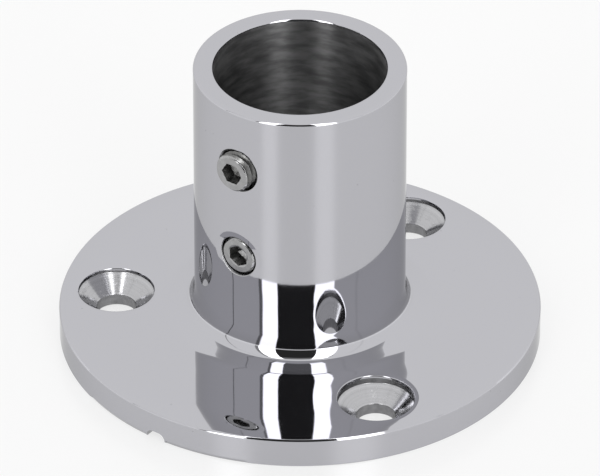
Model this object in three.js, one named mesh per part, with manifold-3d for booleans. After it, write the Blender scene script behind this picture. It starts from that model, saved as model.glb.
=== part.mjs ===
// Round stanchion base for a 25 mm rail tube: one polished stainless casting, a round flange with an
// upright socket on it, and the two hexagon-socket set screws that clamp the tube in the socket.
//
// Millimetres. +Z runs up the socket, z = 0 is the underside that sits on the deck, the origin is the
// centre of that underside, and both set screws face -Y.

import * as THREE from 'three';
import { mergeVertices } from 'three/addons/utils/BufferGeometryUtils.js';
import Module from 'manifold-3d';

// Casting: flange and socket
const FLANGE_RADIUS = 35.4;
const FLANGE_THICKNESS = 4.9;
const FLANGE_TOP_ROUND = 0.35;
const FLANGE_FOOT_CHAMFER = 0.25;
const SOCKET_RADIUS = 15.5;
const SOCKET_HEIGHT = 45.8;
const SOCKET_RIM_ROUND = 0.45;
const BORE_RADIUS = 12.6;
const BORE_CHAMFER = 0.35;

// The hand-polished blend from the flange's top to the socket's wall, as radius and height
const FOOT_BLEND = [
  [19.8, 4.9],
  [19.6, 4.93],
  [18.2, 5.18],
  [16.62, 5.5],
  [15.88, 6.3],
  [15.58, 7.5],
  [15.5, 8.8],
];

// Three countersunk holes for the deck screws, evenly spaced, one of them straight behind the socket.
// Each countersink was cut to its own depth, so the straight lip above its cone differs.
const DECK_HOLE_CIRCLE_RADIUS = 27.2;
const DECK_HOLE_RADIUS = 2.9;
const COUNTERSINK_RADIUS = 5.55;
const COUNTERSINK_CONE_DEPTH = 2.1;
const DECK_HOLES = [
  { angle: Math.PI / 2, lip: 0.95 },
  { angle: (7 * Math.PI) / 6, lip: 0.75 },
  { angle: (11 * Math.PI) / 6, lip: 1.35 },
];

// Groove across the underside that lets water out of the socket, below the set screws
const DRAIN_WIDTH = 3.2;
const DRAIN_DEPTH = 1.3;
const DRAIN_CORNER_RADIUS = 1.1;

// M6 set screws with a 3 mm hexagon socket and a cup point
const TAPPED_HOLE_RADIUS = 3.1;
const THREAD_CREST_RADIUS = 2.95;
const THREAD_ROOT_RADIUS = 2.37;
const THREAD_PITCH = 1.0;
const RIDGE_OVERLAP = 0.15;
const RIDGE_HALF_BASE = 0.46;
const RIDGE_HALF_CREST = 0.06;
const SCREW_LENGTH = 5.0;
const BLANK_RADIUS = THREAD_CREST_RADIUS + 0.05;
const SCREW_CHAMFER = 0.5;
const POINT_CHAMFER = 0.9;
const CUP_RADIUS = 1.4;
const CUP_DEPTH = 0.7;
const HEX_ACROSS_FLATS = 3.0;
const HEX_DEPTH = 2.0;
const HEX_MOUTH_RADIUS = 1.82;
const HEX_MOUTH_DEPTH = 0.3;

// Where each set screw stands: height of its axis, how far its face stands out of the socket wall
// (negative when it is sunk in), and the turn of its hexagon
const SET_SCREWS = [
  { name: 'upper_set_screw', height: 36.0, standOut: 1.2, turn: 0 },
  { name: 'lower_set_screw', height: 21.0, standOut: -0.3, turn: Math.PI / 6 },
];

// Fineness of the curved surfaces
const BODY_SEGMENTS = 96;
const HOLE_SEGMENTS = 36;
const THREAD_SEGMENTS = 20;
const ARC_STEPS = 4;
const OVERCUT = 1;

const QUARTER_TURN = Math.PI / 2;

const wasm = await Module();
wasm.setup();

// ---- Solids ------------------------------------------------------------------------------------

// A closed three.js geometry as a manifold solid
function solidOf(geometry) {
  const shell = geometry.clone();
  shell.deleteAttribute('normal');
  shell.deleteAttribute('uv');
  const merged = mergeVertices(shell, 1e-5);
  const mesh = new wasm.Mesh({
    numProp: 3,
    vertProperties: new Float32Array(merged.attributes.position.array),
    triVerts: new Uint32Array(merged.index.array),
  });
  return new wasm.Manifold(mesh);
}

// A manifold solid as a three.js geometry
function geometryOf(solid) {
  const mesh = solid.getMesh();
  const geometry = new THREE.BufferGeometry();
  geometry.setAttribute('position', new THREE.BufferAttribute(mesh.vertProperties, 3));
  geometry.setIndex(new THREE.BufferAttribute(mesh.triVerts, 1));
  geometry.computeVertexNormals();
  return geometry;
}

// A profile of (radius, height) turned round the Z axis
function turned(points, segments) {
  const geometry = new THREE.LatheGeometry(points, segments);
  geometry.rotateX(QUARTER_TURN);
  return geometry;
}

// ---- Casting -----------------------------------------------------------------------------------

// Section of the flange and socket, counterclockwise, from the bore's foot chamfer and back to it
function castingProfile() {
  const path = new THREE.Path();
  const flangeRoundCentre = FLANGE_RADIUS - FLANGE_TOP_ROUND;
  const rimRoundCentre = SOCKET_RADIUS - SOCKET_RIM_ROUND;
  const [blendStart, ...blend] = FOOT_BLEND.map(([radius, height]) => new THREE.Vector2(radius, height));

  path.moveTo(BORE_RADIUS + BORE_CHAMFER, 0);
  path.lineTo(FLANGE_RADIUS - FLANGE_FOOT_CHAMFER, 0);
  path.lineTo(FLANGE_RADIUS, FLANGE_FOOT_CHAMFER);
  path.lineTo(FLANGE_RADIUS, FLANGE_THICKNESS - FLANGE_TOP_ROUND);
  path.absarc(flangeRoundCentre, FLANGE_THICKNESS - FLANGE_TOP_ROUND, FLANGE_TOP_ROUND, 0, QUARTER_TURN);
  path.lineTo(blendStart.x, blendStart.y);
  path.splineThru(blend);
  path.lineTo(SOCKET_RADIUS, SOCKET_HEIGHT - SOCKET_RIM_ROUND);
  path.absarc(rimRoundCentre, SOCKET_HEIGHT - SOCKET_RIM_ROUND, SOCKET_RIM_ROUND, 0, QUARTER_TURN);
  path.lineTo(BORE_RADIUS + BORE_CHAMFER, SOCKET_HEIGHT);
  path.lineTo(BORE_RADIUS, SOCKET_HEIGHT - BORE_CHAMFER);
  path.lineTo(BORE_RADIUS, BORE_CHAMFER);
  path.lineTo(BORE_RADIUS + BORE_CHAMFER, 0);
  return path.getPoints(ARC_STEPS);
}

// One countersunk deck-screw hole: a plain hole, a cone and a straight lip
function deckHoleCutter({ angle, lip }) {
  const coneTop = FLANGE_THICKNESS - lip;
  const profile = [
    new THREE.Vector2(0, -OVERCUT),
    new THREE.Vector2(DECK_HOLE_RADIUS, -OVERCUT),
    new THREE.Vector2(DECK_HOLE_RADIUS, coneTop - COUNTERSINK_CONE_DEPTH),
    new THREE.Vector2(COUNTERSINK_RADIUS, coneTop),
    new THREE.Vector2(COUNTERSINK_RADIUS, FLANGE_THICKNESS + OVERCUT),
    new THREE.Vector2(0, FLANGE_THICKNESS + OVERCUT),
  ];
  const cutter = turned(profile, HOLE_SEGMENTS);
  const x = DECK_HOLE_CIRCLE_RADIUS * Math.cos(angle);
  const y = DECK_HOLE_CIRCLE_RADIUS * Math.sin(angle);
  cutter.translate(x, y, 0);
  return solidOf(cutter);
}

// The tapped hole through the socket's front wall, a plain cylinder at the thread's full diameter
function tappedHoleCutter(height) {
  const wallThickness = SOCKET_RADIUS - BORE_RADIUS;
  const length = wallThickness + 2 * OVERCUT + TAPPED_HOLE_RADIUS;
  const cutter = new THREE.CylinderGeometry(TAPPED_HOLE_RADIUS, TAPPED_HOLE_RADIUS, length, HOLE_SEGMENTS);
  cutter.translate(0, -(SOCKET_RADIUS + OVERCUT) + length / 2, height);
  return solidOf(cutter);
}

// The drain groove's section, a slot with a rounded roof, run from the bore out through the rim
function drainCutter() {
  const halfWidth = DRAIN_WIDTH / 2;
  const cornerX = halfWidth - DRAIN_CORNER_RADIUS;
  const cornerY = DRAIN_DEPTH - DRAIN_CORNER_RADIUS;
  const section = new THREE.Shape();
  section.moveTo(-halfWidth, -OVERCUT);
  section.lineTo(halfWidth, -OVERCUT);
  section.lineTo(halfWidth, cornerY);
  section.absarc(cornerX, cornerY, DRAIN_CORNER_RADIUS, 0, QUARTER_TURN);
  section.lineTo(-cornerX, DRAIN_DEPTH);
  section.absarc(-cornerX, cornerY, DRAIN_CORNER_RADIUS, QUARTER_TURN, Math.PI);
  section.closePath();

  const start = BORE_RADIUS - OVERCUT;
  const length = FLANGE_RADIUS + OVERCUT - start;
  const cutter = new THREE.ExtrudeGeometry(section, {
    depth: length,
    bevelEnabled: false,
    curveSegments: ARC_STEPS,
  });
  cutter.rotateX(QUARTER_TURN);
  cutter.translate(0, -start, 0);
  return solidOf(cutter);
}

function castingGeometry() {
  let casting = solidOf(turned(castingProfile(), BODY_SEGMENTS));
  for (const hole of DECK_HOLES) {
    casting = casting.subtract(deckHoleCutter(hole));
  }
  for (const screw of SET_SCREWS) {
    casting = casting.subtract(tappedHoleCutter(screw.height));
  }
  casting = casting.subtract(drainCutter());
  return geometryOf(casting);
}

// ---- Set screws --------------------------------------------------------------------------------

// The thread's ridge: its section extruded straight, then wound into a right-hand helix that runs
// past both ends of the screw
function threadRidge() {
  const base = THREAD_ROOT_RADIUS - RIDGE_OVERLAP;
  const section = new THREE.Shape([
    new THREE.Vector2(base, -RIDGE_HALF_BASE),
    new THREE.Vector2(THREAD_CREST_RADIUS, -RIDGE_HALF_CREST),
    new THREE.Vector2(THREAD_CREST_RADIUS, RIDGE_HALF_CREST),
    new THREE.Vector2(base, RIDGE_HALF_BASE),
  ]);
  const turns = SCREW_LENGTH / THREAD_PITCH + 2;
  const ridge = new THREE.ExtrudeGeometry(section, {
    depth: turns * 2 * Math.PI,
    steps: turns * THREAD_SEGMENTS,
    bevelEnabled: false,
  });
  const position = ridge.attributes.position;
  for (let i = 0; i < position.count; i += 1) {
    const radius = position.getX(i);
    const angle = -position.getZ(i);
    const height = position.getY(i) + THREAD_PITCH * (1 + angle / (2 * Math.PI));
    position.setXYZ(i, radius * Math.cos(angle), radius * Math.sin(angle), height);
  }
  return solidOf(ridge);
}

// A set screw along Z with its socket face at z = 0 and its point at z = -SCREW_LENGTH
function setScrewSolid() {
  const coreProfile = [
    new THREE.Vector2(0, -SCREW_LENGTH - OVERCUT),
    new THREE.Vector2(THREAD_ROOT_RADIUS, -SCREW_LENGTH - OVERCUT),
    new THREE.Vector2(THREAD_ROOT_RADIUS, OVERCUT),
    new THREE.Vector2(0, OVERCUT),
  ];
  const blankProfile = [
    new THREE.Vector2(0, -SCREW_LENGTH + CUP_DEPTH),
    new THREE.Vector2(CUP_RADIUS, -SCREW_LENGTH),
    new THREE.Vector2(BLANK_RADIUS - POINT_CHAMFER, -SCREW_LENGTH),
    new THREE.Vector2(BLANK_RADIUS, -SCREW_LENGTH + POINT_CHAMFER),
    new THREE.Vector2(BLANK_RADIUS, -SCREW_CHAMFER),
    new THREE.Vector2(BLANK_RADIUS - SCREW_CHAMFER, 0),
    new THREE.Vector2(0, 0),
  ];
  const hexCorner = HEX_ACROSS_FLATS / Math.sqrt(3);
  const hexSocket = new THREE.CylinderGeometry(hexCorner, hexCorner, HEX_DEPTH + OVERCUT, 6);
  hexSocket.rotateX(QUARTER_TURN);
  hexSocket.rotateZ(QUARTER_TURN);
  hexSocket.translate(0, 0, (OVERCUT - HEX_DEPTH) / 2);

  const mouthSlope = (HEX_MOUTH_RADIUS - HEX_ACROSS_FLATS / 2) / HEX_MOUTH_DEPTH;
  const mouthProfile = [
    new THREE.Vector2(0, -HEX_MOUTH_RADIUS / mouthSlope),
    new THREE.Vector2(HEX_MOUTH_RADIUS + OVERCUT * mouthSlope, OVERCUT),
    new THREE.Vector2(0, OVERCUT),
  ];

  const core = solidOf(turned(coreProfile, THREAD_SEGMENTS));
  const blank = solidOf(turned(blankProfile, THREAD_SEGMENTS));
  const mouth = solidOf(turned(mouthProfile, THREAD_SEGMENTS));
  return core.add(threadRidge()).intersect(blank).subtract(solidOf(hexSocket)).subtract(mouth);
}

// ---- Assembly ----------------------------------------------------------------------------------

const polishedSteel = new THREE.MeshStandardMaterial({ color: 0xd2d2d4, roughness: 0.08, metalness: 1 });
const screwSteel = new THREE.MeshStandardMaterial({ color: 0xb6b4b0, roughness: 0.3, metalness: 1 });

const stanchionBase = new THREE.Group();

const casting = new THREE.Mesh(castingGeometry(), polishedSteel);
casting.name = 'base_casting';
stanchionBase.add(casting);

const screwGeometry = geometryOf(setScrewSolid());
for (const { name, height, standOut, turn } of SET_SCREWS) {
  const seat = new THREE.Group();
  seat.position.set(0, -(SOCKET_RADIUS + standOut), height);
  seat.rotation.x = QUARTER_TURN;
  const screw = new THREE.Mesh(screwGeometry, screwSteel);
  screw.name = name;
  screw.rotation.z = turn;
  seat.add(screw);
  stanchionBase.add(seat);
}

export default stanchionBase;
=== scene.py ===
"""A polished stainless stanchion base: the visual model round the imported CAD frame.

The casting is one closed skin made of patches, each with its exact normals, because a mirror finish
shows every facet. Shapes are worked out in millimetres in the row frame and stored in metres.
"""

import copy
import math

import bpy
import numpy as np
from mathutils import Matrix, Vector
from mathutils.geometry import delaunay_2d_cdt


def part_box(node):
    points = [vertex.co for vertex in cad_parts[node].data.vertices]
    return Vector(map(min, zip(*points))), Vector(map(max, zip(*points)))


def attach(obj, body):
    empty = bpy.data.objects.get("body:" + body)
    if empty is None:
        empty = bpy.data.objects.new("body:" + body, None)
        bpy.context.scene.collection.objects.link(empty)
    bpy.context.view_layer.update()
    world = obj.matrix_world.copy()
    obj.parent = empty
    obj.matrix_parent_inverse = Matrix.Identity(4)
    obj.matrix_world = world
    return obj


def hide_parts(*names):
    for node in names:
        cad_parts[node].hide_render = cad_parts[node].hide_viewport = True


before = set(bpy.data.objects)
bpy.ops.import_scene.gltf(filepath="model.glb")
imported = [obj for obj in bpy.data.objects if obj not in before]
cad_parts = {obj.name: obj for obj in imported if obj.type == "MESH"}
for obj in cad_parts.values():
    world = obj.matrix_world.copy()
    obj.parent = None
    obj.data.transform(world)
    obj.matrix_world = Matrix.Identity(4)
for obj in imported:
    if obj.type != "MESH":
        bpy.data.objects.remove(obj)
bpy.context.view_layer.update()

MM = 0.001

# ---- Driving dimensions, in millimetres ---------------------------------------------------------

CASTING_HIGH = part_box("base_casting")[1]
FLANGE_RADIUS = CASTING_HIGH[0] / MM
HEIGHT = CASTING_HIGH[2] / MM
FLANGE_TOP = 4.9
FLANGE_TOP_ROUND = 0.35
FLANGE_FOOT_ROUND = 0.25
SOCKET_RADIUS = 15.5
# Corners of the polished blend from the flange's top to the socket's wall: radius, height, rounding
FOOT_CORNERS = (
    (19.7, 4.9, 5.5),
    (18.2, 5.17, 36.0),
    (16.6, 5.515, 1.0),
    (15.787, 6.259, 2.35),
    (15.5, 7.889, 8.6),
)
FOOT_HEIGHT = 8.9
FOOT_SPLIT_RADIUS = 20.4
EDGE_ROLL_RADIUS = 30.6
EDGE_ROLL_SLOPE = math.radians(6.0)
# The flange's top edge is a small bevel: its inset, its drop, and the rounding below and above it
BEVEL_INSET = 0.15
BEVEL_DROP = 0.3
BEVEL_ROUNDS = (0.3, 0.12)
RIM_ROUND = 0.45
BORE_RADIUS = 12.6
BORE_MOUTH_ROUND = 0.35
WALL = SOCKET_RADIUS - BORE_RADIUS

DECK_HOLE_CIRCLE = 27.2
DECK_HOLE_RADIUS = 2.87
COUNTERSINK_RADIUS = 5.6
LIP_TAPER = 0.03
DECK_HOLE_PATCH = 6.5
# The polished edge round a deck hole: the corner where it rolls over, that corner's rounding, and the
# drop from there to the lip
HOLE_ROLL_RADIUS = 6.1
HOLE_ROLL_ROUND = 3.0
HOLE_ROLL_DROP = 0.1
# Roundings at the lip's top, at the lip's foot and at the cone's foot
LIP_TOP_ROUND = 0.14
LIP_FOOT_ROUND = 0.06
CONE_FOOT_ROUND = 0.08
# Depths below the flange's top: the hole follows the top's shape fully down to the first, and its
# polish ends at the second
FOLLOW_DEPTH = 0.3
POLISH_DEPTH = 0.22
# Angle round the socket from -Y, depth of the countersink's lip, height of the cone's foot and
# chamfer of the hole's lower edge
DECK_HOLES = (
    (180.0, 0.95, 1.8, 0.3),
    (-60.0, 0.75, 1.95, 0.3),
    (60.0, 1.35, 1.7, 0.06),
)

# Polishing has sunk the flange slightly round each hole, but neither at its edge nor at the foot
SINK_DEPTH = 0.06
SINK_REACH = 4.0
SINK_INNER = (20.8, 23.0)
SINK_OUTER = (32.0, 34.6)

DRAIN_HALF_WIDTH = 1.6
DRAIN_DEPTH = 1.3
DRAIN_CORNER = 1.1

TAPPED_RADIUS = 3.1
TAPPED_PATCH = 5.2
TAPPED_GROOVE = 0.18
TAPPED_BREAK = 0.15
# Corners of each tapped hole's outer edge: radius, negative depth and rounding. The upper edge is just
# broken, and the lower one sits in a shallow polished dish
UPPER_HOLE_EDGE = ((3.45, 0.0, 0.12), (TAPPED_RADIUS, -0.35, 0.08))
LOWER_HOLE_EDGE = ((4.1, 0.0, 1.2), (3.2, -0.2, 0.12), (TAPPED_RADIUS, -0.3, 0.08))
TAPPED_FOOT = (TAPPED_RADIUS, -WALL + TAPPED_BREAK, 0.05)
# The polish ends this far outside the edge's last corner but one
TAPPED_POLISH_MARGIN = 0.1
# Width over which the dish's lean sets in, outside the hole's wall
DISH_BLEND = 0.06
# Shares of the wall's depth at which the tapped thread starts and ends, each with its run-out
THREAD_START = (0.25, 0.1)
THREAD_END = (0.92, 0.06)
# The dish round the lower hole is deepest at this angle from the top, clockwise as seen from outside
DISH_SIDE = math.radians(-8.0)
DISH_LEAN = 1.0
THREAD_PITCH = 1.0

# M6 set screws with a 3 mm hexagon socket
CREST_RADIUS = 2.95
ROOT_RADIUS = 2.37
FLANK_STEEPNESS = 1.3
SCREW_LENGTH = 5.0
FACE_RADIUS = 2.6
FACE_CHAMFER_SLOPE = 1.0
FACE_CHAMFER_DEPTH = 0.5
POINT_RADIUS = 2.05
CUP_RADIUS = 1.4
CUP_DEPTH = 0.7
HEX_HALF = 1.5
HEX_PILOT = 1.54
HEX_MOUTH = 1.82
HEX_MOUTH_SLOPE = 0.2
HEX_DEPTH = 2.0
HEX_POINT_DEPTH = 0.5
# Height of the axis, how far the face stands out of the socket wall, and the turn of the hexagon
UPPER_SCREW = (36.0, 1.2, 0.0)
LOWER_SCREW = (21.0, -0.3, math.radians(30.0))

# Fineness of the skin: steps round the axis and along paths, and spacings of points inside sheets
COLUMN_STEP = math.radians(1.0)
WINDOW_COLUMNS = 24
HOLE_SIDES = 128
TAPPED_SIDES = 96
ARC_STEP = math.radians(12.0)
DRAIN_STEP = 0.1
DECK_HOLE_STEP = 0.3
TAPPED_STEP = 0.12
RIM_STEP = 0.8
FOOT_STEP = 0.35
LOOKUP_STEP = 0.02
WALL_STEP = 1.0
RIM_SPACING = 0.6
WALL_SPACING = 0.7
UNDERSIDE_SPACING = 1.5
DRAIN_ROWS = 24
# A screw's cup and its hexagon's floor are a grid up to this share of the way in, then a fan
FAN_START = 0.985
# Points closer than this are welded. The offset keeps round figures off the edges between cells
WELD = 1e-4
WELD_OFFSET = 0.37
# Half of the small difference from which normals are worked out
TINY = 1e-4

# Material slots of the casting and of a screw. A screw's socket and thread slots carry painted shade
POLISHED, BORE, TURNED, DRILLED, UNDERSIDE = range(5)
MACHINED, BROACHED_SHADE, THREADED_SHADE = range(3)


# ---- Paths and skins ----------------------------------------------------------------------------

def left_of(direction):
    return np.array([-direction[1], direction[0]])


class Path:
    """A flat path through corners, each rounded by an arc, with the normal on its right-hand side."""

    def __init__(self, start, corners, end, spacing):
        self.points = []
        self.normals = []
        stops = [np.array(stop[:2], float) for stop in (start, *corners, end)]
        at = stops[0]
        for i, corner in enumerate(corners, start=1):
            before = self.unit(stops[i] - stops[i - 1])
            after = self.unit(stops[i + 1] - stops[i])
            turn = math.atan2(before[0] * after[1] - before[1] * after[0], float(before @ after))
            radius = corner[2]
            reach = radius * math.tan(abs(turn) / 2)
            arc_start = stops[i] - before * reach
            if (arc_start - at) @ before < -1e-6:
                raise ValueError(f"the rounding of corner {i} runs back over the one before it")
            self.line(at, arc_start, spacing)
            self.arc(arc_start, before, turn, radius, spacing)
            at = stops[i] + after * reach
        if corners and (stops[-1] - at) @ self.unit(stops[-1] - stops[-2]) < -1e-6:
            raise ValueError("the last corner's rounding runs past the end")
        self.line(at, stops[-1], spacing)
        self.points = np.array(self.points)
        self.normals = np.array(self.normals)
        self.drop_repeats()
        steps = np.linalg.norm(np.diff(self.points, axis=0), axis=1)
        self.lengths = np.concatenate([[0.0], np.cumsum(steps)])

    @staticmethod
    def unit(v):
        return v / np.linalg.norm(v)

    def line(self, a, b, spacing):
        length = np.linalg.norm(b - a)
        if length < 1e-6:
            return
        normal = -left_of(self.unit(b - a))
        count = max(1, math.ceil(length / spacing))
        for k in range(count + 1):
            self.points.append(a + (b - a) * k / count)
            self.normals.append(normal)

    def arc(self, start, direction, turn, radius, spacing):
        side = math.copysign(1.0, turn)
        centre = start + side * radius * left_of(direction)
        heading = math.atan2(direction[1], direction[0])
        count = max(3, math.ceil(abs(turn) / ARC_STEP), math.ceil(abs(turn) * radius / spacing))
        for k in range(count + 1):
            angle = heading + turn * k / count
            left = left_of((math.cos(angle), math.sin(angle)))
            self.points.append(centre - side * radius * left)
            self.normals.append(-left)

    def drop_repeats(self):
        gaps = np.linalg.norm(np.diff(self.points, axis=0), axis=1)
        keep = np.concatenate([[True], gaps > 1e-6])
        self.points = self.points[keep]
        self.normals = self.normals[keep]

    def part(self, first, last):
        """The stretch of the path from one of its points to another."""
        part = copy.copy(self)
        part.points = self.points[first:last + 1]
        part.normals = self.normals[first:last + 1]
        part.lengths = self.lengths[first:last + 1]
        return part

    def at(self, length):
        """Point and normal at a length along the path."""
        point = np.stack([np.interp(length, self.lengths, self.points[:, i]) for i in (0, 1)], axis=-1)
        normal = np.stack([np.interp(length, self.lengths, self.normals[:, i]) for i in (0, 1)], axis=-1)
        return point, normal


def single(values):
    """The values rounded to single precision."""
    return values.astype(np.float32).astype(float)


def unit_rows(v):
    return v / np.linalg.norm(v, axis=-1, keepdims=True)


class Skin:
    """One closed surface made of patches, with the true normal kept at every face corner."""

    def __init__(self):
        self.points = []
        self.normals = []
        self.faces = []
        self.slots = []
        self.count = 0

    def add(self, points, normals, faces, slot=0):
        """Adds faces, each turned to look the way its corners' normals do."""
        points = points.reshape(-1, 3)
        normals = unit_rows(normals.reshape(-1, 3))
        corners = points[faces]
        facing = np.cross(corners[:, 1] - corners[:, 0], corners[:, 2] - corners[:, 0])
        if faces.shape[1] == 4:
            facing = facing + np.cross(corners[:, 2] - corners[:, 0], corners[:, 3] - corners[:, 0])
        away = np.einsum("ij,ij->i", facing, normals[faces].mean(axis=1)) < 0
        faces = np.where(away[:, None], faces[:, ::-1], faces)
        self.points.append(points)
        self.normals.append(normals)
        self.faces += (faces + self.count).tolist()
        self.slots += [slot] * len(faces)
        self.count += len(points)

    def grid(self, points, normals, slot=0):
        """Adds a grid of points, rows by columns, as quads."""
        rows, columns = points.shape[:2]
        index = np.arange(rows * columns).reshape(rows, columns)
        quads = np.stack([index[:-1, :-1], index[:-1, 1:], index[1:, 1:], index[1:, :-1]], axis=-1)
        self.add(points, normals, quads.reshape(-1, 4), slot)

    def fan(self, ring, centre, normal, slot=0):
        """Adds the disc between a closed ring of points and its centre."""
        points = np.concatenate([ring, [centre]])
        count = len(ring)
        first = np.arange(count)
        faces = np.stack([first, (first + 1) % count, np.full(count, count)], axis=-1)
        self.add(points, np.tile(np.asarray(normal, float), (count + 1, 1)), faces, slot)

    def sheet(self, loops, seeds, surface, slot=0):
        """Adds a triangulated sheet. Loops bound it in its own flat coordinates, seeds lie inside it
        and surface(flat) gives points and normals in space."""
        flat = np.concatenate(loops + [seeds_inside(loops, seeds)])
        edges = []
        start = 0
        for loop in loops:
            count = len(loop)
            edges += [(start + k, start + (k + 1) % count) for k in range(count)]
            start += count
        # The triangulation works in single precision, so the test for inside does too, and the corners
        # are looked up by their numbers.
        _, _, triangles, sources, *_ = delaunay_2d_cdt([Vector(p) for p in flat], edges, [], 0, 1e-6)
        triangles = np.array([source[0] for source in sources])[np.array(triangles)]
        keep = inside([single(loop) for loop in loops], single(flat)[triangles].mean(axis=1))
        points, normals = surface(flat)
        self.add(points, normals, triangles[keep], slot)

    def build(self, name, materials, body):
        """Welds the patches into one mesh object in metres, which rides on a body."""
        points = np.concatenate(self.points)
        normals = np.concatenate(self.normals)
        keys = np.round(points / WELD + WELD_OFFSET).astype(np.int64)
        _, first, welded = np.unique(keys, axis=0, return_index=True, return_inverse=True)
        welded = welded.reshape(-1)
        faces = [[int(welded[i]) for i in face] for face in self.faces]
        mesh = bpy.data.meshes.new(name)
        mesh.from_pydata((points[first] * MM).tolist(), [], faces)
        mesh.polygons.foreach_set("material_index", self.slots)
        mesh.polygons.foreach_set("use_smooth", [True] * len(faces))
        for material in materials:
            mesh.materials.append(material)
        mesh.normals_split_custom_set([normals[i] for face in self.faces for i in face])
        piece = bpy.data.objects.new(name, mesh)
        bpy.context.scene.collection.objects.link(piece)
        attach(piece, body)
        return piece


def inside(loops, points):
    """Which points lie inside the region bounded by the loops, by the even-odd rule."""
    crossings = np.zeros(len(points), int)
    for loop in loops:
        following = np.roll(loop, -1, axis=0)
        for (ax, ay), (bx, by) in zip(loop, following):
            spans = (points[:, 1] > ay) != (points[:, 1] > by)
            if not spans.any():
                continue
            crossing_x = ax + (points[:, 1] - ay) * (bx - ax) / (by - ay)
            crossings += spans & (points[:, 0] < crossing_x)
    return crossings % 2 == 1


def seeds_inside(loops, spacing):
    """A staggered grid of points inside the loops, kept off their edges."""
    border = np.concatenate(loops)
    low = border.min(axis=0) + spacing / 3
    high = border.max(axis=0)
    rows = np.arange(low[1], high[1], spacing * math.sqrt(0.75))
    columns = np.arange(low[0], high[0], spacing)
    grid = [(x + (spacing / 2 if k % 2 else 0.0), y) for k, y in enumerate(rows) for x in columns]
    grid = np.array(grid)
    grid = grid[inside(loops, grid)]
    for loop in loops:
        for start, step in zip(loop, np.roll(loop, -1, axis=0) - loop):
            share = np.clip((grid - start) @ step / (step @ step), 0, 1)
            gaps = np.linalg.norm(grid - start - share[:, None] * step, axis=1)
            grid = grid[gaps > spacing * 0.45]
    return grid


def round_axis(radius, angle, height):
    """A point at an angle round the socket, measured from -Y towards +X."""
    return np.stack([radius * np.sin(angle), -radius * np.cos(angle), height + 0 * angle], axis=-1)


def revolve(skin, path, columns, slot):
    """The patch that a path of (radius, height) sweeps round the socket's axis."""
    angle = columns[None, :]
    radius = path.points[:, 0][:, None]
    height = path.points[:, 1][:, None]
    points = round_axis(radius, angle, height + 0 * angle)
    normals = round_axis(path.normals[:, 0][:, None], angle, path.normals[:, 1][:, None] + 0 * angle)
    skin.grid(points, normals, slot)


# ---- Casting ------------------------------------------------------------------------------------

ALL_COLUMNS = np.arange(361) * COLUMN_STEP
WINDOW = np.arange(-WINDOW_COLUMNS, WINDOW_COLUMNS + 1) * COLUMN_STEP
OUTSIDE_WINDOW = np.arange(WINDOW_COLUMNS, 361 - WINDOW_COLUMNS) * COLUMN_STEP


def hole_ring(centre, radius, sides):
    angle = np.arange(sides) * 2 * math.pi / sides
    return np.stack([centre[0] + radius * np.sin(angle), centre[1] + radius * np.cos(angle)], axis=-1)


def deck_hole_centre(angle):
    return round_axis(np.array(DECK_HOLE_CIRCLE), np.array(math.radians(angle)), np.array(0.0))


def drain_outline():
    """The drain groove's section as (x, height), from one foot over the roof to the other."""
    return Path(
        (-DRAIN_HALF_WIDTH, 0.0),
        [(-DRAIN_HALF_WIDTH, DRAIN_DEPTH, DRAIN_CORNER), (DRAIN_HALF_WIDTH, DRAIN_DEPTH, DRAIN_CORNER)],
        (DRAIN_HALF_WIDTH, 0.0),
        DRAIN_STEP,
    )


def notch_on(path, outline):
    """The drain outline where it cuts a turned wall, as (angle, length along the wall's path)."""
    # The wall's foot is the end of its path that lies at height 0.
    heights = path.points[:, 1]
    order = np.argsort(heights, kind="stable")
    length = np.interp(outline[:, 1], heights[order], path.lengths[order])
    radius = path.at(length)[0][:, 0]
    return np.stack([np.arcsin(outline[:, 0] / radius), length], axis=-1)


def window_loop(path, notch=None):
    """The border of the window in a turned wall, as (angle, length), with the drain's notch in the
    edge that lies at the foot."""
    foot_is_last = path.points[-1, 1] < path.points[0, 1]
    foot = path.lengths[-1] if foot_is_last else path.lengths[0]
    top = path.lengths[0] if foot_is_last else path.lengths[-1]
    rows = path.lengths if foot_is_last else path.lengths[::-1]
    loop = [(WINDOW[0], s) for s in rows[:-1]]
    if notch is None:
        loop += [(a, foot) for a in WINDOW[:-1]]
    else:
        loop += [(a, foot) for a in WINDOW if a < notch[0, 0] - 1e-6]
        loop += [tuple(p) for p in notch]
        loop += [(a, foot) for a in WINDOW[:-1] if a > notch[-1, 0] + 1e-6]
    loop += [(WINDOW[-1], s) for s in rows[::-1][:-1]]
    loop += [(a, top) for a in WINDOW[::-1][:-1]]
    return np.array(loop)


def turned_window(skin, path, radius, loops, spacing, slot):
    """The part of a turned wall inside its window, with holes. Loops are in (angle, length)."""

    def surface(flat):
        angle = flat[:, 0] / radius
        point, normal = path.at(flat[:, 1])
        points = round_axis(point[:, 0], angle, point[:, 1])
        normals = round_axis(normal[:, 0], angle, normal[:, 1])
        return points, normals

    unrolled = [np.stack([loop[:, 0] * radius, loop[:, 1]], axis=-1) for loop in loops]
    skin.sheet(unrolled, spacing, surface, slot)


def wall_hole(path, radius, height, ring_radius):
    """A screw hole's ring on a turned wall, as (angle, length)."""
    ring = hole_ring((0.0, height), ring_radius, TAPPED_SIDES)
    going_down = path.points[-1, 1] < path.points[0, 1]
    start = path.points[0, 1]
    length = start - ring[:, 1] if going_down else ring[:, 1] - start
    return np.stack([np.arcsin(ring[:, 0] / radius), length], axis=-1)


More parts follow.
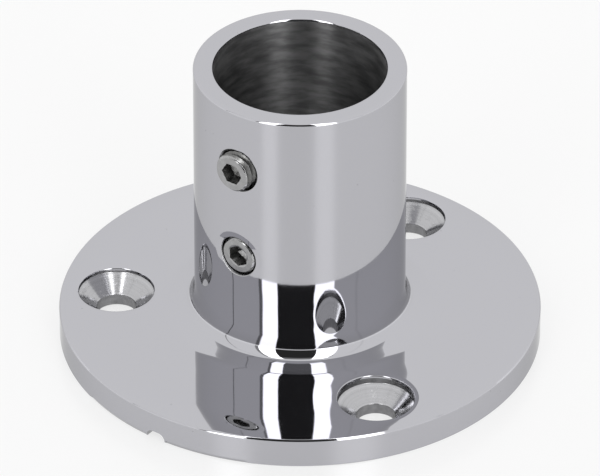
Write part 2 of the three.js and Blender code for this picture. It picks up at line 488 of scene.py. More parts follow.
def surface_grid(surface, path, around, outward):
    """Points and normals of a surface swept from a path of (radius, height) round a hole's axis, where
    surface(radius, height, around) may bend it. outward is roughly the first normal."""
    around = around[None, :] + 0 * path.lengths[:, None]
    radius = path.points[:, 0][:, None] + 0 * around
    height = path.points[:, 1][:, None] + 0 * around
    # The path's own direction is its right-hand normal turned left.
    along_radius = -path.normals[:, 1][:, None] * TINY
    along_height = path.normals[:, 0][:, None] * TINY
    along = surface(radius + along_radius, height + along_height, around)
    along = along - surface(radius - along_radius, height - along_height, around)
    across = surface(radius, height, around + TINY) - surface(radius, height, around - TINY)
    normals = np.cross(along, across)
    if normals[0, 0] @ np.array(outward) < 0:
        normals = -normals
    return surface(radius, height, around), unit_rows(normals)


def deck_hole(skin, angle, lip, cone_foot, chamfer, top_path):
    """A countersunk hole: rolled-over edge, steep lip, cone, plain hole and a broken edge below."""
    lip_foot = FLANGE_TOP - lip
    path = Path(
        (DECK_HOLE_PATCH, FLANGE_TOP),
        [
            (HOLE_ROLL_RADIUS, FLANGE_TOP, HOLE_ROLL_ROUND),
            (COUNTERSINK_RADIUS, FLANGE_TOP - HOLE_ROLL_DROP, LIP_TOP_ROUND),
            (COUNTERSINK_RADIUS - LIP_TAPER, lip_foot, LIP_FOOT_ROUND),
            (DECK_HOLE_RADIUS, cone_foot, CONE_FOOT_ROUND),
            (DECK_HOLE_RADIUS, chamfer, chamfer / 3),
        ],
        (DECK_HOLE_RADIUS + chamfer, 0.0),
        DECK_HOLE_STEP,
    )
    centre = deck_hole_centre(angle)

    def surface(radius, height, around):
        x = centre[0] + radius * np.sin(around)
        y = centre[1] + radius * np.cos(around)
        drop = top_height(top_path, x, y) - FLANGE_TOP
        share = np.clip((height - lip_foot) / (FLANGE_TOP - FOLLOW_DEPTH - lip_foot), 0, 1)
        return np.stack([x, y, height + drop * share], axis=-1)

    around = np.arange(HOLE_SIDES + 1) * 2 * math.pi / HOLE_SIDES
    points, normals = surface_grid(surface, path, around, (0.0, 0.0, 1.0))
    radii, heights = path.points.T
    lip_top = int(np.argmax(heights < FLANGE_TOP - POLISH_DEPTH))
    cone_top = int(np.argmax(heights < lip_foot + 0.01))
    cone_end = int(np.argmax(radii < DECK_HOLE_RADIUS + 0.01))
    for first, last, slot in (
        (0, lip_top, POLISHED),
        (lip_top, cone_top, DRILLED),
        (cone_top, cone_end, TURNED),
        (cone_end, len(radii) - 1, DRILLED),
    ):
        skin.grid(points[first:last + 1], normals[first:last + 1], slot)


def tapped_hole(skin, height, edge, lean):
    """A tapped hole through the wall, with edge for the corners of its outer edge. Its section is a
    path of (radius, -depth), and depth runs from the socket's outside to the bore, so both ends meet
    their curved walls exactly. The dish round it is deeper on one side by lean."""
    inner_end = (TAPPED_RADIUS + TAPPED_BREAK, -WALL)
    path = Path((TAPPED_PATCH, 0.0), [*edge, TAPPED_FOOT], inner_end, TAPPED_STEP)

    def surface(radius, depth, around):
        dish = np.clip((radius - TAPPED_RADIUS) / DISH_BLEND, 0, 1) * (depth > -WALL / 2)
        depth = depth * (1 - lean * dish * (1 - ((1 + np.cos(around - DISH_SIDE)) / 2) ** 2))
        share = -depth / WALL
        plain_x = radius * np.sin(around)
        plain_y = -(1 - share) * np.sqrt(SOCKET_RADIUS**2 - plain_x**2)
        plain_y = plain_y - share * np.sqrt(BORE_RADIUS**2 - plain_x**2)
        started = np.clip((share - THREAD_START[0]) / THREAD_START[1], 0, 1)
        on_wall = started * np.clip((THREAD_END[0] - share) / THREAD_END[1], 0, 1)
        phase = plain_y / THREAD_PITCH + around / (2 * math.pi)
        groove = TAPPED_GROOVE * 0.5 * (1 + np.cos(2 * math.pi * phase)) * on_wall
        x = (radius + groove) * np.sin(around)
        outer = np.sqrt(SOCKET_RADIUS**2 - x**2)
        inner = np.sqrt(BORE_RADIUS**2 - x**2)
        y = -(1 - share) * outer - share * inner
        z = height + (radius + groove) * np.cos(around)
        return np.stack([x, y, z], axis=-1)

    around = np.arange(TAPPED_SIDES + 1) * 2 * math.pi / TAPPED_SIDES
    points, normals = surface_grid(surface, path, around, (0.0, -1.0, 0.0))
    polish_end = edge[-2][0] + TAPPED_POLISH_MARGIN
    polished_rows = int(np.argmax(path.points[:, 0] < polish_end)) + 1
    skin.grid(points[:polished_rows], normals[:polished_rows], POLISHED)
    skin.grid(points[polished_rows - 1:], normals[polished_rows - 1:], TURNED)


def smooth_step(value, low, high):
    share = np.clip((value - low) / (high - low), 0, 1)
    return share * share * (3 - 2 * share)


def sink_at(x, y):
    """How far the flange's top lies below its turned section."""
    radius = np.hypot(x, y)
    window = smooth_step(radius, *SINK_INNER) * (1 - smooth_step(radius, *SINK_OUTER))
    total = 0 * radius
    for angle, *_ in DECK_HOLES:
        centre = deck_hole_centre(angle)
        gap = (np.hypot(x - centre[0], y - centre[1]) - COUNTERSINK_RADIUS) / SINK_REACH
        total = total + np.clip(1 - gap**2, 0, 1) ** 2
    return SINK_DEPTH * window * total


def top_height(top_path, x, y):
    return np.interp(np.hypot(x, y), top_path.points[::-1, 0], top_path.points[::-1, 1]) - sink_at(x, y)


def top_surface(top_path):
    radii = top_path.points[::-1, 0]
    slopes = -top_path.normals[::-1, 0] / np.maximum(top_path.normals[::-1, 1], 0.01)

    def surface(flat):
        x, y = flat.T
        radius = np.hypot(x, y)
        slope = np.interp(radius, radii, slopes)
        slope_x = slope * x / radius - (sink_at(x + TINY, y) - sink_at(x - TINY, y)) / (2 * TINY)
        slope_y = slope * y / radius - (sink_at(x, y + TINY) - sink_at(x, y - TINY)) / (2 * TINY)
        points = np.column_stack([flat, top_height(top_path, x, y)])
        normals = np.column_stack([-slope_x, -slope_y, np.ones(len(flat))])
        return points, normals

    return surface


def under_surface(flat):
    points = np.column_stack([flat, np.zeros(len(flat))])
    normals = np.tile((0.0, 0.0, -1.0), (len(flat), 1))
    return points, normals


def deck_hole_ring(angle, radius):
    centre = deck_hole_centre(angle)
    return hole_ring(centre[:2], radius, HOLE_SIDES)


def make_casting(materials):
    skin = Skin()
    bore_foot_radius = BORE_RADIUS + BORE_MOUTH_ROUND
    roll_corner = (FLANGE_RADIUS - FLANGE_TOP_ROUND + EDGE_ROLL_RADIUS) / 2
    edge_height = FLANGE_TOP - (FLANGE_RADIUS - roll_corner) * math.tan(EDGE_ROLL_SLOPE)
    edge_reach = FLANGE_TOP_ROUND * math.tan((math.pi / 2 - EDGE_ROLL_SLOPE) / 2)
    edge = (FLANGE_RADIUS - edge_reach * math.cos(EDGE_ROLL_SLOPE),
            edge_height + edge_reach * math.sin(EDGE_ROLL_SLOPE))

    bevel_top = edge_height + BEVEL_INSET * math.tan(EDGE_ROLL_SLOPE)
    rim = Path(
        (FLANGE_RADIUS - FLANGE_FOOT_ROUND, 0.0),
        [
            (FLANGE_RADIUS, 0.0, FLANGE_FOOT_ROUND),
            (FLANGE_RADIUS, edge_height - BEVEL_DROP, BEVEL_ROUNDS[0]),
            (FLANGE_RADIUS - BEVEL_INSET, bevel_top, BEVEL_ROUNDS[1]),
        ],
        edge,
        RIM_STEP,
    )
    roll = (roll_corner, FLANGE_TOP, (roll_corner - EDGE_ROLL_RADIUS) / math.tan(EDGE_ROLL_SLOPE / 2))
    wall_foot = (SOCKET_RADIUS, FOOT_HEIGHT)
    section = Path(edge, [roll, *FOOT_CORNERS], wall_foot, FOOT_STEP)
    split = int(np.argmax(section.points[:, 0] < FOOT_SPLIT_RADIUS))
    foot = section.part(split, len(section.points) - 1)
    # The flange's top is shaped by looking heights up in the same section, cut more finely.
    top = Path(edge, [roll, *FOOT_CORNERS], wall_foot, LOOKUP_STEP)
    wall = Path(wall_foot, [], (SOCKET_RADIUS, HEIGHT - RIM_ROUND), WALL_STEP)
    mouth = Path(
        (SOCKET_RADIUS, HEIGHT - RIM_ROUND),
        [(SOCKET_RADIUS, HEIGHT, RIM_ROUND), (BORE_RADIUS, HEIGHT, BORE_MOUTH_ROUND)],
        (BORE_RADIUS, HEIGHT - BORE_MOUTH_ROUND),
        RIM_STEP,
    )
    bore = Path(
        (BORE_RADIUS, HEIGHT - BORE_MOUTH_ROUND),
        [(BORE_RADIUS, 0.0, BORE_MOUTH_ROUND)],
        (bore_foot_radius, 0.0),
        WALL_STEP,
    )

    # Turned walls, whole or round their windows
    revolve(skin, foot, ALL_COLUMNS, POLISHED)
    revolve(skin, mouth, ALL_COLUMNS, POLISHED)
    revolve(skin, rim, OUTSIDE_WINDOW, POLISHED)
    revolve(skin, wall, OUTSIDE_WINDOW, POLISHED)
    revolve(skin, bore, OUTSIDE_WINDOW, BORE)

    # Windows with the screw holes and the drain's notches
    outline = drain_outline()
    rim_notch = notch_on(rim, outline.points)
    bore_notch = notch_on(bore, outline.points)
    screw_heights = (UPPER_SCREW[0], LOWER_SCREW[0])
    wall_rings = [wall_hole(wall, SOCKET_RADIUS, z, TAPPED_PATCH) for z in screw_heights]
    bore_rings = [wall_hole(bore, BORE_RADIUS, z, TAPPED_RADIUS + TAPPED_BREAK) for z in screw_heights]
    rim_loops = [window_loop(rim, rim_notch)]
    wall_loops = [window_loop(wall)] + wall_rings
    bore_loops = [window_loop(bore, bore_notch)] + bore_rings
    turned_window(skin, rim, FLANGE_RADIUS, rim_loops, RIM_SPACING, POLISHED)
    turned_window(skin, wall, SOCKET_RADIUS, wall_loops, WALL_SPACING, POLISHED)
    turned_window(skin, bore, BORE_RADIUS, bore_loops, WALL_SPACING, BORE)

    # Screw holes
    tapped_hole(skin, UPPER_SCREW[0], UPPER_HOLE_EDGE, 0.0)
    tapped_hole(skin, LOWER_SCREW[0], LOWER_HOLE_EDGE, DISH_LEAN)

    # The flange's top and its deck holes
    circle = ALL_COLUMNS[:-1]
    outer_ring = round_axis(edge[0], circle, 0.0)[:, :2]
    inner_ring = round_axis(foot.points[0, 0], circle, 0.0)[:, :2]
    hole_rings = [deck_hole_ring(angle, DECK_HOLE_PATCH) for angle, *_ in DECK_HOLES]
    skin.sheet([outer_ring, inner_ring] + hole_rings, WALL_SPACING, top_surface(top), POLISHED)
    for angle, lip, cone_foot, chamfer in DECK_HOLES:
        deck_hole(skin, angle, lip, cone_foot, chamfer, top)

    # The drain groove, straight between its two notches
    rows = np.linspace(0, 1, DRAIN_ROWS)[:, None, None]
    ends = []
    for path, notch in ((bore, bore_notch), (rim, rim_notch)):
        point = path.at(notch[:, 1])[0]
        ends.append(round_axis(point[:, 0], notch[:, 0], point[:, 1]))
    groove = ends[0] * (1 - rows) + ends[1] * rows
    inward = np.stack([outline.normals[:, 0], 0 * outline.normals[:, 0], outline.normals[:, 1]], axis=-1)
    skin.grid(groove, np.broadcast_to(inward, groove.shape), UNDERSIDE)

    # The underside, round the groove and the holes
    outer_foot = FLANGE_RADIUS - FLANGE_FOOT_ROUND
    slot_outer = math.asin(DRAIN_HALF_WIDTH / outer_foot)
    slot_inner = math.asin(DRAIN_HALF_WIDTH / bore_foot_radius)
    full_turn = 2 * math.pi
    outer_arc = [a for a in circle if slot_outer < a < full_turn - slot_outer]
    inner_arc = [a for a in circle[::-1] if slot_inner < a < full_turn - slot_inner]
    border = np.concatenate([
        round_axis(outer_foot, np.array(outer_arc), 0.0)[:, :2],
        groove[::-1, 0, :2],
        round_axis(bore_foot_radius, np.array(inner_arc), 0.0)[:, :2],
        groove[:, -1, :2],
    ])
    foot_rings = [deck_hole_ring(angle, DECK_HOLE_RADIUS + chamfer) for angle, _, _, chamfer in DECK_HOLES]
    skin.sheet([border] + foot_rings, UNDERSIDE_SPACING, under_surface, UNDERSIDE)

    piece = skin.build("casting", materials, "base")
    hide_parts("base_casting")


# ---- Set screws ---------------------------------------------------------------------------------

def hexagon_columns():
    """Angles round a screw, closer together towards the hexagon's corners."""
    sector = np.array([0.0, 0.6, 2.0, 4.5, 8.0, 12.0, 17.0, 22.0, 26.0, 30.0])
    sector = np.concatenate([sector, 60.0 - sector[-2:0:-1]])
    angles = np.concatenate([sector + 60.0 * k for k in range(6)] + [[360.0]])
    return np.radians(angles)


def hexagon_radius(around):
    """Radius of the broached socket: a hexagon with a corner at angle 0, just cut by its pilot drill."""
    from_flat = (around + math.pi / 6) % (math.pi / 3) - math.pi / 6
    from_flat = math.pi / 6 - np.abs(from_flat)
    return np.maximum(HEX_HALF / np.cos(from_flat), HEX_PILOT)


def thread_radius(depth, around):
    """Radius of the screw's flank at a depth below its face: chamfer, thread and point."""
    phase = -depth / THREAD_PITCH - around / (2 * math.pi)
    ridge = np.clip(0.5 + FLANK_STEEPNESS * (np.abs(2 * (phase % 1.0) - 1) - 0.5), 0, 1)
    radius = ROOT_RADIUS + (CREST_RADIUS - ROOT_RADIUS) * ridge
    chamfer = FACE_CHAMFER_SLOPE * depth
    radius = np.clip(radius, FACE_RADIUS - chamfer, FACE_RADIUS + chamfer)
    return np.minimum(radius, POINT_RADIUS + (SCREW_LENGTH - depth))


def swept_rows(surface, rows, around):
    """Points and normals of surface(row, around) on a grid, by small differences."""
    row = rows[:, None] + 0 * around[None, :]
    angle = around[None, :] + 0 * rows[:, None]
    along = surface(row + TINY, angle) - surface(row - TINY, angle)
    across = surface(row, angle + TINY) - surface(row, angle - TINY)
    return surface(row, angle), unit_rows(np.cross(along, across))


def make_set_screw(name, body, place, floor_slot, materials):
    """A set screw at its place. floor_slot is the material slot of its hexagon's floor, which paints that
    floor lit for the lower screw and shaded for the upper.
    """
    height, stand_out, turn = place
    skin = Skin()
    around = hexagon_columns()

    def placed(radius, depth, angle):
        """A point of the screw, whose axis runs along +Y into the socket."""
        x = radius * np.cos(angle + turn)
        y = -(SOCKET_RADIUS + stand_out) + depth
        z = height + radius * np.sin(angle + turn)
        return np.stack([x, y + 0 * angle, z], axis=-1)

    def add(surface, rows, inward=False, slot=MACHINED):
        points, normals = swept_rows(surface, np.array(rows, float), around)
        skin.grid(points, -normals if inward else normals, slot)
        return points

    def mouth_depth(angle):
        return HEX_MOUTH_SLOPE * (HEX_MOUTH - hexagon_radius(angle))

    def flank(depth, angle):
        return placed(thread_radius(depth, angle), depth, angle)

    def face(radius, angle):
        return placed(radius, 0 * angle, angle)

    def mouth(share, angle):
        radius = HEX_MOUTH + (hexagon_radius(angle) - HEX_MOUTH) * share
        return placed(radius, mouth_depth(angle) * share, angle)

    def socket(share, angle):
        top = mouth_depth(angle)
        return placed(hexagon_radius(angle), top + (HEX_DEPTH - top) * share, angle)

    def floor(share, angle):
        radius = hexagon_radius(angle) * (1 - share)
        return placed(radius, HEX_DEPTH + HEX_POINT_DEPTH * share, angle)

    def point(share, angle):
        return placed(POINT_RADIUS + (CUP_RADIUS - POINT_RADIUS) * share, SCREW_LENGTH + 0 * angle, angle)

    def cup(share, angle):
        return placed(CUP_RADIUS * (1 - share), SCREW_LENGTH - CUP_DEPTH * share, angle)

    add(flank, np.linspace(0, FACE_CHAMFER_DEPTH, 11))
    # The thread carries painted shade of the gap round the screw.
    add(flank, np.linspace(FACE_CHAMFER_DEPTH, SCREW_LENGTH, 91), slot=THREADED_SHADE)
    add(face, np.linspace(HEX_MOUTH, FACE_RADIUS, 4))
    add(mouth, np.linspace(0, 1, 6), inward=True)
    # The socket's walls carry painted shade of the deep socket.
    add(socket, np.linspace(0, 1, 8), inward=True, slot=BROACHED_SHADE)
    floor_rows = add(floor, np.linspace(0, FAN_START, 6), inward=True, slot=floor_slot)
    add(point, np.linspace(0, 1, 3))
    cup_rows = add(cup, np.linspace(0, FAN_START, 6))
    floor_centre = placed(0.0, HEX_DEPTH + HEX_POINT_DEPTH, np.array(0.0))
    cup_centre = placed(0.0, SCREW_LENGTH - CUP_DEPTH, np.array(0.0))
    skin.fan(floor_rows[-1, :-1], floor_centre, (0.0, -1.0, 0.0), floor_slot)
    skin.fan(cup_rows[-1, :-1], cup_centre, (0.0, 1.0, 0.0))
    piece = skin.build(name, materials, body)
    return piece


# ---- Materials ----------------------------------------------------------------------------------

X_AXIS, Y_AXIS = (1, 0, 0), (0, 1, 0)
# Colour of the polished steel, and how strongly every steel reflects near a grazing view
STEEL = (0.472, 0.471, 0.498)
GRAZING = 0.72


def even(frequency):
    return (frequency, frequency, frequency)


class Nodes:
    """Short calls for a tree of math nodes."""

    def __init__(self, tree):
        self.tree = tree

    def math(self, operation, *values):
        node = self.tree.nodes.new("ShaderNodeMath")
        node.operation = operation
        for socket, value in zip(node.inputs, values):
            self.feed(socket, value)
        return node.outputs[0]

    def dot(self, vector, constant):
        node = self.tree.nodes.new("ShaderNodeVectorMath")
        node.operation = "DOT_PRODUCT"
        self.tree.links.new(vector, node.inputs[0])
        node.inputs[1].default_value = constant
        return node.outputs["Value"]

    def ramp(self, value, low, high, to_low=0.0, to_high=1.0):
        """A smooth change from to_low, where value is low, to to_high, where it is high."""
        node = self.tree.nodes.new("ShaderNodeMapRange")
        node.interpolation_type = "SMOOTHSTEP"
        self.feed(node.inputs["Value"], value)
        node.inputs["From Min"].default_value = low
        node.inputs["From Max"].default_value = high
        node.inputs["To Min"].default_value = to_low
        node.inputs["To Max"].default_value = to_high
        return node.outputs[0]

    def band(self, value, low, high, soft):
        """1 where value is between low and high and 0 elsewhere, with edges of soft to either side."""
        up = self.ramp(value, low - soft, low + soft)
        down = self.ramp(value, high - soft, high + soft, 1.0, 0.0)
        return self.math("MULTIPLY", up, down)

    def mix(self, share, a, b):
        """a where share is 0 and b where it is 1."""
        node = self.tree.nodes.new("ShaderNodeMix")
        node.data_type = "FLOAT"
        self.feed(node.inputs[0], share)
        self.feed(node.inputs[2], a)
        self.feed(node.inputs[3], b)
        return node.outputs[0]

    def feed(self, socket, value):
        if isinstance(value, (int, float)):
            socket.default_value = value
        else:
            self.tree.links.new(value, socket)


class Metal(Nodes):
    """A metal's node tree. Frequencies are per millimetre and depths in millimetres."""

    def __init__(self, name, colour, roughness):
        self.material = bpy.data.materials.new(name)
        self.material.use_nodes = True
        super().__init__(self.material.node_tree)
        self.shader = self.tree.nodes["Principled BSDF"]
        self.shader.inputs["Metallic"].default_value = 1.0
        self.shader.inputs["Base Color"].default_value = (*colour, 1.0)
        self.shader.inputs["Roughness"].default_value = roughness
        self.shader.inputs["Specular Tint"].default_value = (GRAZING, GRAZING, GRAZING, 1.0)
        self.position = self.tree.nodes.new("ShaderNodeTexCoord").outputs["Object"]
        self.normal = None

    def texture(self, kind, frequency, offset):
        """A texture node that reads the piece's own position, stretched along its axes."""
        stretch = self.tree.nodes.new("ShaderNodeVectorMath")
        stretch.operation = "MULTIPLY_ADD"
        self.tree.links.new(self.position, stretch.inputs[0])
        stretch.inputs[1].default_value = [f / MM for f in frequency]
        stretch.inputs[2].default_value = (offset, offset, offset)
        node = self.tree.nodes.new(kind)
        self.tree.links.new(stretch.outputs[0], node.inputs["Vector"])
        node.inputs["Scale"].default_value = 1.0
        return node

    def noise(self, frequency, detail=3.0, offset=0.0):
        node = self.texture("ShaderNodeTexNoise", frequency, offset)
        node.inputs["Detail"].default_value = detail
        return node.outputs[0]

    def noise_along(self, value, frequency, detail=3.0):
        """Noise that changes along one value only."""
        node = self.tree.nodes.new("ShaderNodeTexNoise")
        node.noise_dimensions = "1D"
        self.feed(node.inputs["W"], value)
        node.inputs["Scale"].default_value = frequency
        node.inputs["Detail"].default_value = detail
        return node.outputs[0]

    def pits(self, frequency, radius, offset=0.0):
        """1 inside small round pits and 0 elsewhere."""
        node = self.texture("ShaderNodeTexVoronoi", even(frequency), offset)
        return self.ramp(node.outputs["Distance"], radius * 0.6, radius, 1.0, 0.0)

    def from_axis(self, first, second, centre):
        """Distance in millimetres from an axis that crosses the plane of two directions at centre."""
        across = self.math("SUBTRACT", self.dot(self.position, first), centre[0] * MM)
        along = self.math("SUBTRACT", self.dot(self.position, second), centre[1] * MM)
        squares = self.math("ADD", self.math("POWER", across, 2.0), self.math("POWER", along, 2.0))
        return self.math("MULTIPLY", self.math("SQRT", squares), 1 / MM)

    def bump(self, height, depth):
        """Raises the surface by depth where height is 1, on top of the earlier bumps."""
        node = self.tree.nodes.new("ShaderNodeBump")
        node.inputs["Strength"].default_value = 1.0
        node.inputs["Distance"].default_value = depth * MM
        self.feed(node.inputs["Height"], height)
        if self.normal is not None:
            self.tree.links.new(self.normal, node.inputs["Normal"])
        self.normal = node.outputs[0]
        self.tree.links.new(self.normal, self.shader.inputs["Normal"])

    def roughen(self, share, smooth, rough):
        """Roughness from smooth, where share is low, to rough, where it is high."""
        self.feed(self.shader.inputs["Roughness"], self.ramp(share, 0.3, 0.7, smooth, rough))

    def tint(self, share, first, second):
        """Base colour from first, where share is 0, to second, where it is 1."""
        ramp = self.tree.nodes.new("ShaderNodeValToRGB")
        ramp.color_ramp.elements[0].color = (*first, 1.0)
        ramp.color_ramp.elements[1].color = (*second, 1.0)
        self.feed(ramp.inputs[0], share)
        self.tree.links.new(ramp.outputs[0], self.shader.inputs["Base Color"])


def polished_steel():
    """Mirror-polished casting: faint waves, wiping smears, hairline scratches and a few pinholes."""
    m = Metal("polished_steel", STEEL, 0.03)
    pinholes = m.pits(0.35, 0.035)
    smears = m.noise((0.12, 0.12, 0.3), 5.0)
    m.tint(pinholes, STEEL, (0.25, 0.25, 0.26))
    m.roughen(smears, 0.022, 0.05)
    m.bump(m.noise(even(0.16), 1.0, 4.0), 0.012)
    m.bump(m.noise((0.7, 0.7, 11.0), 2.0, 9.0), 0.0002)
    m.bump(m.noise((13.0, 0.6, 0.6), 2.0, 2.0), 0.0001)
    m.bump(pinholes, -0.03)
    return m.material


def bore_steel():
    """The bore as bored: dark and blotchy, with fine rings of tool marks which smear every reflection up
    and down."""
    m = Metal("bore_steel", (0.2, 0.2, 0.2), 0.42)
    m.shader.inputs["Anisotropic"].default_value = 0.9
    m.shader.inputs["Anisotropic Rotation"].default_value = 0.25
    tangent = m.tree.nodes.new("ShaderNodeTangent")
    tangent.direction_type = "RADIAL"
    tangent.axis = "Z"
    m.tree.links.new(tangent.outputs[0], m.shader.inputs["Tangent"])
    blotches = m.noise((0.25, 0.25, 0.9), 5.0)
    m.tint(m.ramp(blotches, 0.3, 0.7), (0.13, 0.13, 0.132), (0.26, 0.26, 0.262))
    m.roughen(m.noise((0.3, 0.3, 2.5), 4.0, 5.0), 0.38, 0.44)
    m.bump(m.noise((0.4, 0.4, 5.0), 3.0, 3.0), 0.0018)
    m.bump(m.pits(0.8, 0.07), -0.02)
    return m.material


def turned_steel():
    """The countersinks' cones, with uneven rings left by the cutter and light scuffs from screw heads,
    and the walls of the tapped holes."""
    m = Metal("turned_steel", (0.44, 0.44, 0.455), 0.2)
    distances = []
    for angle, *_ in DECK_HOLES:
        centre = deck_hole_centre(angle)
        distances.append(m.from_axis(X_AXIS, Y_AXIS, (float(centre[0]), float(centre[1]))))
    distance = m.math("MINIMUM", m.math("MINIMUM", distances[0], distances[1]), distances[2])
    rings = m.noise_along(distance, 2.6, 4.0)
    scuffs = m.ramp(m.noise(even(0.9), 5.0, 7.0), 0.58, 0.66)
    m.tint(rings, (0.37, 0.37, 0.38), (0.5, 0.5, 0.515))
    m.roughen(m.math("ADD", scuffs, m.math("MULTIPLY", rings, 0.5)), 0.15, 0.3)
    m.bump(rings, 0.005)
    m.bump(m.noise(even(2.0), 4.0, 1.0), 0.0012)
    return m.material


def drilled_steel():
    """The deck holes' plain walls and the countersinks' steep lips: dull and finely scored."""
    m = Metal("drilled_steel", (0.26, 0.26, 0.27), 0.35)
    m.tint(m.noise(even(0.8), 4.0), (0.16, 0.16, 0.165), (0.36, 0.36, 0.37))
    m.roughen(m.noise(even(1.5), 3.0, 6.0), 0.28, 0.45)
    m.bump(m.noise((1.0, 1.0, 4.0), 3.0, 2.0), 0.003)
    return m.material


def underside_steel():
    """The seating face and drain, ground flat with straight scratches and left unpolished."""
    m = Metal("underside_steel", (0.42, 0.42, 0.43), 0.3)
    m.tint(m.noise(even(0.1), 5.0), (0.32, 0.32, 0.33), (0.5, 0.5, 0.51))
    m.roughen(m.noise((0.1, 3.0, 1.0), 4.0, 3.0), 0.22, 0.4)
    m.bump(m.noise((0.25, 9.0, 9.0), 3.0), 0.006)
    m.bump(m.pits(0.6, 0.12), -0.04)
    return m.material


def screw_steel():
    """A screw's face, chamfer and point: machined metal, uneven, with a few pits."""
    m = Metal("screw_steel", (0.36, 0.36, 0.362), 0.2)
    m.tint(m.noise(even(1.1), 5.0), (0.29, 0.29, 0.292), (0.42, 0.42, 0.424))
    m.roughen(m.noise(even(2.0), 3.0, 4.0), 0.12, 0.26)
    m.bump(m.noise(even(1.2), 3.0, 8.0), 0.004)
    m.bump(m.pits(1.4, 0.1, 3.0), -0.01)
    return m.material


def threaded_shade_steel():
    """The screw's thread: painted shade of the gap round the screw, with a little bare metal."""
    m = Metal("threaded_shade_steel", (0.16, 0.16, 0.158), 0.3)
    # Painted shade: the thread is tinted dark, with lighter patches of bare metal.
    m.tint(m.noise(even(1.3), 4.0), (0.09, 0.09, 0.088), (0.26, 0.26, 0.257))
    m.roughen(m.noise(even(1.6), 3.0, 2.0), 0.24, 0.4)
    m.bump(m.noise(even(1.5), 3.0, 5.0), 0.004)
    return m.material


def broached_shade_steel():
    """The hexagon socket's walls and floor: dull, dark with painted shade of the deep socket, and scored
    lengthwise by the broach.
    """
    m = Metal("broached_shade_steel", (0.2, 0.2, 0.195), 0.3)
    # Painted shade: the socket is tinted dark, as if shaded by its depth.
    m.tint(m.noise(even(1.5), 4.0), (0.14, 0.14, 0.137), (0.27, 0.27, 0.265))
    m.roughen(m.noise(even(1.5), 3.0, 2.0), 0.26, 0.4)
    m.bump(m.noise((6.0, 0.8, 6.0), 2.0, 5.0), 0.002)
    return m.material


# ---- Floor, light and camera --------------------------------------------------------------------

# Lengths are in millimetres. The camera stands off one point of the axis and looks at another
CAMERA_AZIMUTH = math.radians(36.2)
CAMERA_ELEVATION = math.radians(33.39)
CAMERA_DISTANCE = 1267.0
CAMERA_LENS = 522.7
CAMERA_PIVOT = 30.0
CAMERA_AIM = 15.9

FLOOR_HALF_SIZE = 4000.0
FLOOR_GREY = 0.15
FLOOR_GLOW = 0.72

# Parts of the tent, in degrees. Azimuth is 0 towards the camera and grows to the camera's right
OPENING_SIDES = (-24, 16)
OPENING_TOP = (52, 56)
STRIP_TOP = (63, 69)
LEFT_STRIP_SIDES = (-41, -24)
RIGHT_STRIP_SIDES = (16, 37)
EDGE_SEAM_SIDES = (-45, -41)
LEFT_SEAM_SIDES = (-78.6, -77.4)
RIGHT_SEAM_SIDES = (63, 65)
CROSS_SEAM_SIDES = (-45, 41)
CROSS_SEAM_HEIGHTS = (51.5, 53.5)
# Brightness of the tent's cloth, of its strips and seams, and of the opening and the part above it
TENT = 1.09
STRIP = 4.8
LEFT_SEAM = 0.3
RIGHT_SEAM = TENT * 0.85
EDGE_SEAM = 0.35
CROSS_SEAM = 0.12
OVER_OPENING = 0.3
OPENING = 0.04

SIDE = Vector((math.cos(CAMERA_AZIMUTH), math.sin(CAMERA_AZIMUTH), 0.0))
BACK = Vector((math.sin(CAMERA_AZIMUTH), -math.cos(CAMERA_AZIMUTH), 0.0))


def make_camera():
    data = bpy.data.cameras.new("camera")
    data.lens = CAMERA_LENS
    data.clip_end = 20.0
    camera = bpy.data.objects.new("camera", data)
    bpy.context.scene.collection.objects.link(camera)
    away = BACK * math.cos(CAMERA_ELEVATION) + Vector((0, 0, math.sin(CAMERA_ELEVATION)))
    camera.location = (Vector((0, 0, CAMERA_PIVOT)) + away * CAMERA_DISTANCE) * MM
    look = Vector((0, 0, CAMERA_AIM * MM)) - camera.location
    camera.rotation_euler = look.to_track_quat("-Z", "Y").to_euler()
    bpy.context.scene.camera = camera


def make_floor():
    mesh = bpy.data.meshes.new("floor")
    reach = FLOOR_HALF_SIZE * MM
    corners = [(-reach, -reach, 0), (reach, -reach, 0), (reach, reach, 0), (-reach, reach, 0)]
    mesh.from_pydata(corners, [], [(0, 1, 2, 3)])
    floor = bpy.data.objects.new("floor", mesh)
    bpy.context.scene.collection.objects.link(floor)
    material = bpy.data.materials.new("floor")
    material.use_nodes = True
    shader = material.node_tree.nodes["Principled BSDF"]
    shader.inputs["Base Color"].default_value = (FLOOR_GREY, FLOOR_GREY, FLOOR_GREY, 1.0)
    shader.inputs["Emission Color"].default_value = (1.0, 1.0, 1.0, 1.0)
    shader.inputs["Emission Strength"].default_value = FLOOR_GLOW
    shader.inputs["Roughness"].default_value = 0.25
    shader.inputs["Specular IOR Level"].default_value = 0.33
    mesh.materials.append(material)


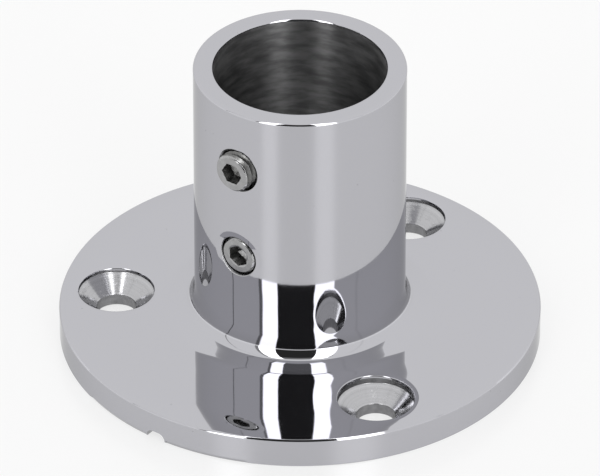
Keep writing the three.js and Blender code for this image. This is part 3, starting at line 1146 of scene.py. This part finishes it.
def make_light_tent():
    """A white tent with a dark opening towards the camera between two bright strips."""
    world = bpy.data.worlds.new("light_tent")
    world.use_nodes = True
    bpy.context.scene.world = world
    tree = world.node_tree
    n = Nodes(tree)
    direction = tree.nodes.new("ShaderNodeTexCoord").outputs["Generated"]
    side = n.dot(direction, SIDE)
    back = n.dot(direction, BACK)
    up = n.dot(direction, (0, 0, 1))
    azimuth = n.math("MULTIPLY", n.math("ARCTAN2", side, back), 180 / math.pi)
    elevation = n.math("MULTIPLY", n.math("ARCSINE", up), 180 / math.pi)

    def both(first, second):
        return n.math("MULTIPLY", first, second)

    below_strip_top = n.ramp(elevation, *STRIP_TOP, 1.0, 0.0)
    below_opening_top = n.ramp(elevation, *OPENING_TOP, 1.0, 0.0)
    before_opening = n.band(azimuth, *OPENING_SIDES, 0.6)
    over_opening = both(before_opening, below_strip_top)
    opening = both(before_opening, below_opening_top)
    cross_seam = both(n.band(azimuth, *CROSS_SEAM_SIDES, 1.0), n.band(elevation, *CROSS_SEAM_HEIGHTS, 0.5))
    left_strip = both(n.band(azimuth, *LEFT_STRIP_SIDES, 1.0), below_strip_top)
    right_strip = both(n.band(azimuth, *RIGHT_STRIP_SIDES, 1.0), below_strip_top)
    edge_seam = both(n.band(azimuth, *EDGE_SEAM_SIDES, 0.8), below_strip_top)
    left_seam = n.band(azimuth, *LEFT_SEAM_SIDES, 0.5)
    right_seam = n.band(azimuth, *RIGHT_SEAM_SIDES, 2.0)
    level = n.mix(right_seam, TENT, RIGHT_SEAM)
    level = n.mix(left_seam, level, LEFT_SEAM)
    level = n.mix(edge_seam, level, EDGE_SEAM)
    level = n.mix(left_strip, level, STRIP)
    level = n.mix(right_strip, level, STRIP)
    level = n.mix(over_opening, level, OVER_OPENING)
    level = n.mix(cross_seam, level, CROSS_SEAM)
    level = n.mix(opening, level, OPENING)
    background = tree.nodes["Background"]
    tree.links.new(level, background.inputs["Strength"])
    background.inputs["Color"].default_value = (1.0, 1.0, 1.0, 1.0)


# ---- The scene ----------------------------------------------------------------------------------

bpy.context.scene.view_settings.view_transform = "Standard"

make_casting([polished_steel(), bore_steel(), turned_steel(), drilled_steel(), underside_steel()])

# The two hexagons' floors are painted lit and shaded: the lower one's takes the brighter face steel as a
# painted highlight, the upper one's the dark socket steel as painted shade.
screw_materials = [screw_steel(), broached_shade_steel(), threaded_shade_steel()]
upper = make_set_screw("upper_screw_detail", "upper_screw", UPPER_SCREW, BROACHED_SHADE, screw_materials)
lower = make_set_screw("lower_screw_detail", "lower_screw", LOWER_SCREW, MACHINED, screw_materials)
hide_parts("upper_set_screw")
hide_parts("lower_set_screw")

make_floor()
make_light_tent()
make_camera()
